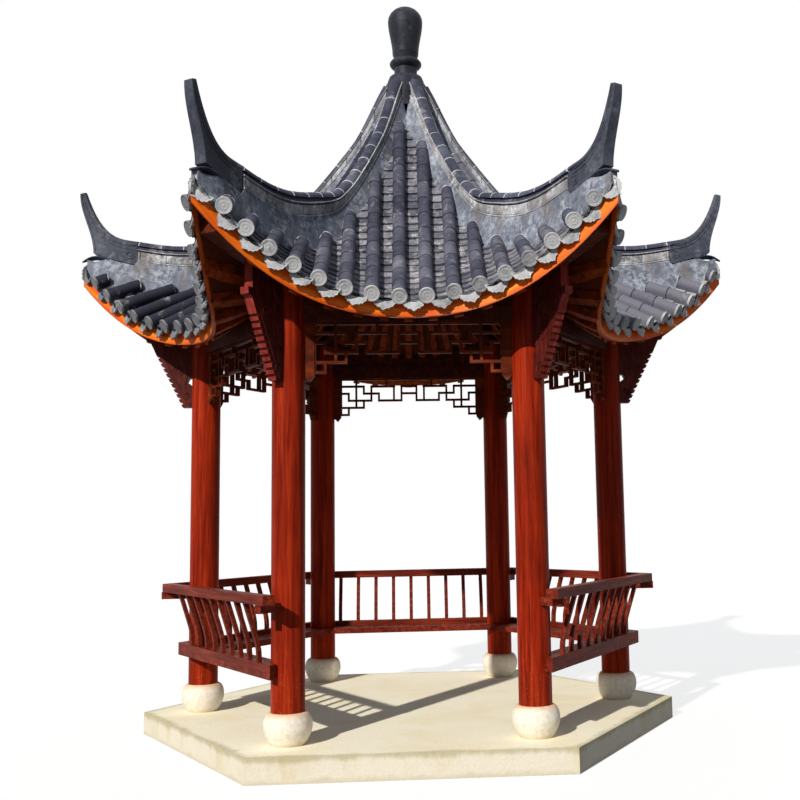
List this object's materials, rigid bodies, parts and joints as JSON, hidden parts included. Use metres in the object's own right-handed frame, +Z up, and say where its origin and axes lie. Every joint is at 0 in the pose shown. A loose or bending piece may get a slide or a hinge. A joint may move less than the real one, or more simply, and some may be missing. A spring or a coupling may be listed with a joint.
{
  "type": "garden gazebo",
  "caption": "open hexagonal garden pavilion with round columns on drum stones, benches with leaning slatted backs, hanging fretwork and an upswept tiled roof with horned ridges",
  "frame": {"origin": "centre of the platform underside", "axes": "+Z up, -Y towards the open front bay, +X to the right seen from the front"},
  "size_m": [5.212, 4.5556, 5.8298],
  "materials": {
    "slab_stone": "matte",
    "plinth_stone": "matte",
    "red_lacquer": "satin",
    "dark_lacquer": "satin",
    "lattice_lacquer": "satin",
    "carved_wood": "satin",
    "roof_tile": "matte",
    "ridge_course": "matte",
    "dark_glaze": "satin",
    "orange_board": "satin"
  },
  "bodies": {
    "root": {"platform": "slab_stone", "plinths": "plinth_stone", "column_1": "red_lacquer", "column_2": "red_lacquer", "column_3": "red_lacquer", "column_4": "red_lacquer", "column_5": "red_lacquer", "column_6": "red_lacquer", "tie_beams": "dark_lacquer", "eave_plates": "dark_lacquer", "hanging_lattice_1": "lattice_lacquer", "hanging_lattice_2": "lattice_lacquer", "hanging_lattice_3": "lattice_lacquer", "hanging_lattice_4": "lattice_lacquer", "hanging_lattice_5": "lattice_lacquer", "hanging_lattice_6": "lattice_lacquer", "corner_brackets": "carved_wood", "corner_beams": "dark_lacquer", "king_post": "dark_lacquer", "rafters": "dark_lacquer", "roof_panel_1": "roof_tile", "roof_panel_2": "roof_tile", "roof_panel_3": "roof_tile", "roof_panel_4": "roof_tile", "roof_panel_5": "roof_tile", "roof_panel_6": "roof_tile", "eave_fascia": "orange_board", "tile_rows": "roof_tile", "hip_ridge_1": "ridge_course", "hip_ridge_2": "ridge_course", "hip_ridge_3": "ridge_course", "hip_ridge_4": "ridge_course", "hip_ridge_5": "ridge_course", "hip_ridge_6": "ridge_course", "ridge_horns": "dark_glaze", "finial": "dark_glaze", "bench_seats": "red_lacquer", "rail_arms": "red_lacquer", "bench_back_1": "red_lacquer", "bench_back_2": "red_lacquer", "bench_back_3": "red_lacquer", "bench_back_4": "red_lacquer", "bench_back_5": "red_lacquer"}
  },
  "joints": []
}
